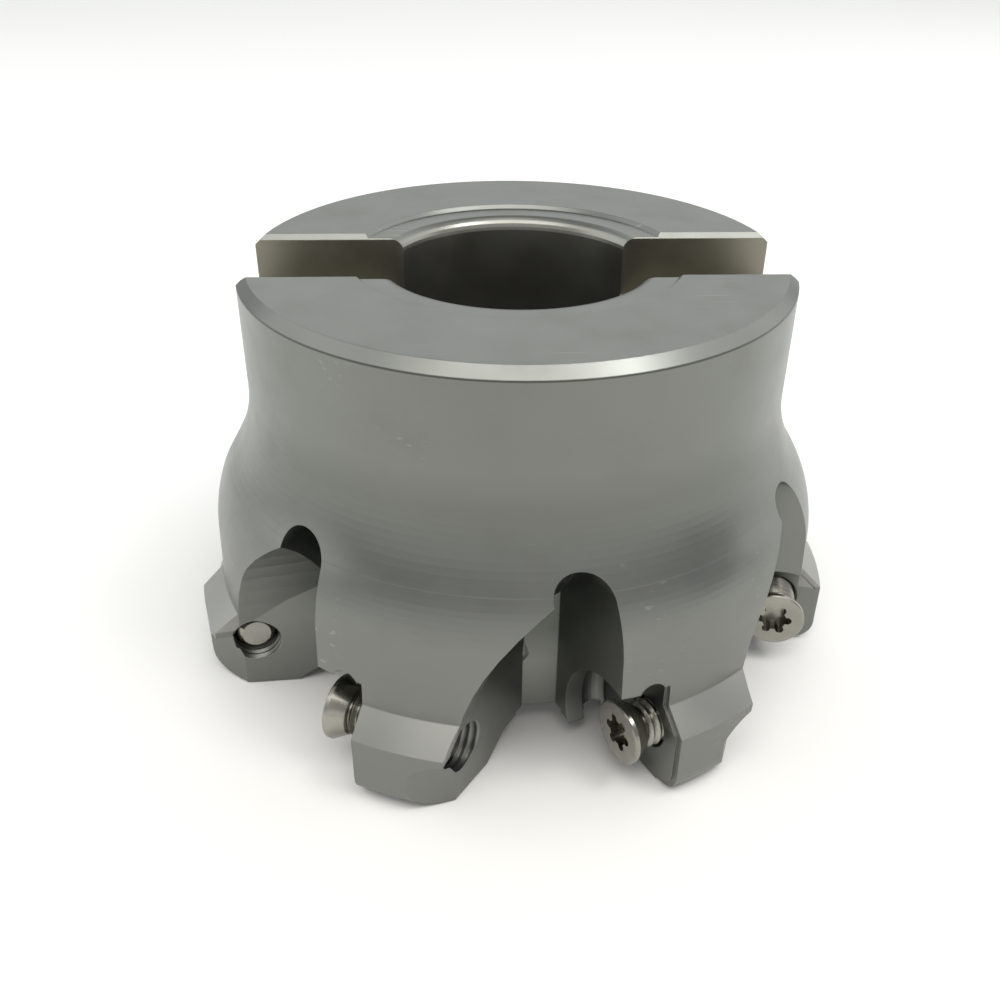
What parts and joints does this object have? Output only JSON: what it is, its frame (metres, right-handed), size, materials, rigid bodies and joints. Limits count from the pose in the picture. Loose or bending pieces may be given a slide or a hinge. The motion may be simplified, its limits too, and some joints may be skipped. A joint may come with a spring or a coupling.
{
  "type": "face mill",
  "caption": "Indexable face mill for round inserts, with a keyed arbor bore, waisted steel body, open chip gullets and a screw standing in each insert hole.",
  "frame": {"origin": "centre of the back face, on the axis of the arbor bore and in the middle of the drive slot", "axes": "+Z along the bore out of the back face, towards the arbor; X along the drive slot"},
  "size_m": [0.0721, 0.0719, 0.0442],
  "materials": {
    "body_steel": "satin",
    "screw_steel": "gloss"
  },
  "bodies": {
    "cutter": {"cutter_body": "body_steel"},
    "screw_1": {"insert_screw_1": "screw_steel"},
    "screw_2": {"insert_screw_2": "screw_steel"},
    "screw_3": {"insert_screw_3": "screw_steel"},
    "screw_4": {"insert_screw_4": "screw_steel"},
    "screw_5": {"insert_screw_5": "screw_steel"},
    "screw_6": {"insert_screw_6": "screw_steel"},
    "screw_7": {"insert_screw_7": "screw_steel"}
  },
  "joints": [
    {"name": "insert_screw_1_slide", "type": "slide", "parent": "cutter", "child": "screw_1", "axis": [-0.8988, -0.4384, 0], "range_m": [-0.00165, 0.0097]},
    {"name": "insert_screw_2_slide", "type": "slide", "parent": "cutter", "child": "screw_2", "axis": [-0.2177, -0.976, 0], "range_m": [-0.00285, 0.0085]},
    {"name": "insert_screw_3_slide", "type": "slide", "parent": "cutter", "child": "screw_3", "axis": [0.6274, -0.7787, 0], "range_m": [-0.00225, 0.0091]},
    {"name": "insert_screw_4_slide", "type": "slide", "parent": "cutter", "child": "screw_4", "axis": [1, 0.005, 0], "range_m": [-0.00195, 0.0094]},
    {"name": "insert_screw_5_slide", "type": "slide", "parent": "cutter", "child": "screw_5", "axis": [0.6196, 0.7849, 0], "range_m": [-0.00255, 0.0088]},
    {"name": "insert_screw_6_slide", "type": "slide", "parent": "cutter", "child": "screw_6", "axis": [-0.2274, 0.9738, 0], "range_m": [-0.00235, 0.009]},
    {"name": "insert_screw_7_slide", "type": "slide", "parent": "cutter", "child": "screw_7", "axis": [-0.9031, 0.4294, 0], "range_m": [-0.00235, 0.009]}
  ]
}
